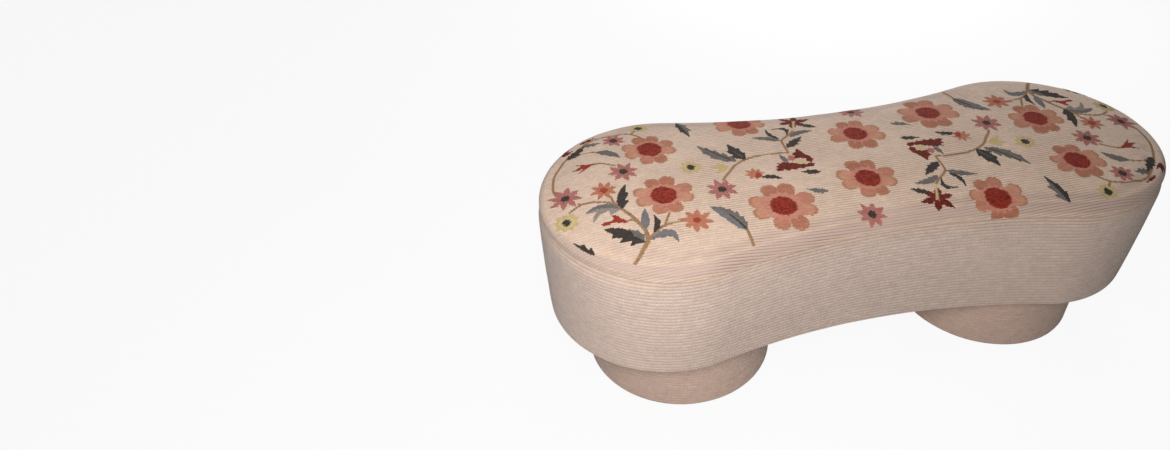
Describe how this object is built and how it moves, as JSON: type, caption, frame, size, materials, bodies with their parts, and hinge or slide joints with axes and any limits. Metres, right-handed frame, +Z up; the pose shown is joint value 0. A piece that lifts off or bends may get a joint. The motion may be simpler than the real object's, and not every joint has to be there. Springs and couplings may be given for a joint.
{
  "type": "upholstered bench",
  "caption": "Upholstered bench: a waisted, round-ended padded seat slab on squat fabric-covered drum legs, in ribbed cream cloth with floral embroidery on top",
  "frame": {"origin": "on the floor, under the middle of the bench", "axes": "X along the bench, Y across it from front to rear, Z up"},
  "size_m": [1.4, 0.5298, 0.467],
  "materials": {
    "cover_cloth": "cream ribbed flat-weave cloth, matt, with slubs; embroidered in wool on the top panel",
    "lining_cloth": "black non-woven lining cloth, matt",
    "foam": "open-cell upholstery foam, pale yellow",
    "wadding": "white polyester wadding",
    "plywood": "bare birch plywood with layered edges",
    "bending_ply": "bare bending plywood",
    "pine": "planed softwood",
    "zinc_steel": "zinc-plated steel",
    "staple_wire": "galvanised flat staple wire",
    "glide_plastic": "dark brown polyamide, satin",
    "embroidery_wool": "coloured crewel wool stitched into the top panel: coral, brick red, mauve, slate blue, charcoal, ochre"
  },
  "bodies": {
    "root": {"base_deck": "plywood", "base_deck_screws": "zinc_steel", "cross_rib_1": "plywood", "cross_rib_2": "plywood", "cross_rib_3": "plywood", "cross_rib_4": "plywood", "cross_rib_5": "plywood", "dust_cover": "lining_cloth", "dust_cover_staples": "staple_wire", "hem_staples": "staple_wire", "left_leg_base_cloth": "lining_cloth", "left_leg_base_staples": "staple_wire", "left_leg_batten_1": "pine", "left_leg_batten_2": "pine", "left_leg_batten_3": "pine", "left_leg_batten_4": "pine", "left_leg_bolts": "zinc_steel", "left_leg_bottom_ring": "plywood", "left_leg_cover": "cover_cloth", "left_leg_drum": "bending_ply", "left_leg_glides": "glide_plastic", "left_leg_padding": "wadding", "left_leg_tee_nuts": "zinc_steel", "left_leg_top_disc": "plywood", "left_leg_washers": "zinc_steel", "lobe_post_1": "pine", "lobe_post_2": "pine", "lobe_post_3": "pine", "lobe_post_4": "pine", "right_leg_base_cloth": "lining_cloth", "right_leg_base_staples": "staple_wire", "right_leg_batten_1": "pine", "right_leg_batten_2": "pine", "right_leg_batten_3": "pine", "right_leg_batten_4": "pine", "right_leg_bolts": "zinc_steel", "right_leg_bottom_ring": "plywood", "right_leg_cover": "cover_cloth", "right_leg_drum": "bending_ply", "right_leg_glides": "glide_plastic", "right_leg_padding": "wadding", "right_leg_tee_nuts": "zinc_steel", "right_leg_top_disc": "plywood", "right_leg_washers": "zinc_steel", "seat_deck": "plywood", "seat_deck_screws": "zinc_steel", "seat_foam": "foam", "seat_wadding": "wadding", "side_cover": "cover_cloth", "side_foam_front": "foam", "side_foam_rear": "foam", "side_skin_front": "bending_ply", "side_skin_rear": "bending_ply", "spine_board": "plywood", "top_cover": "cover_cloth"}
  },
  "joints": []
}
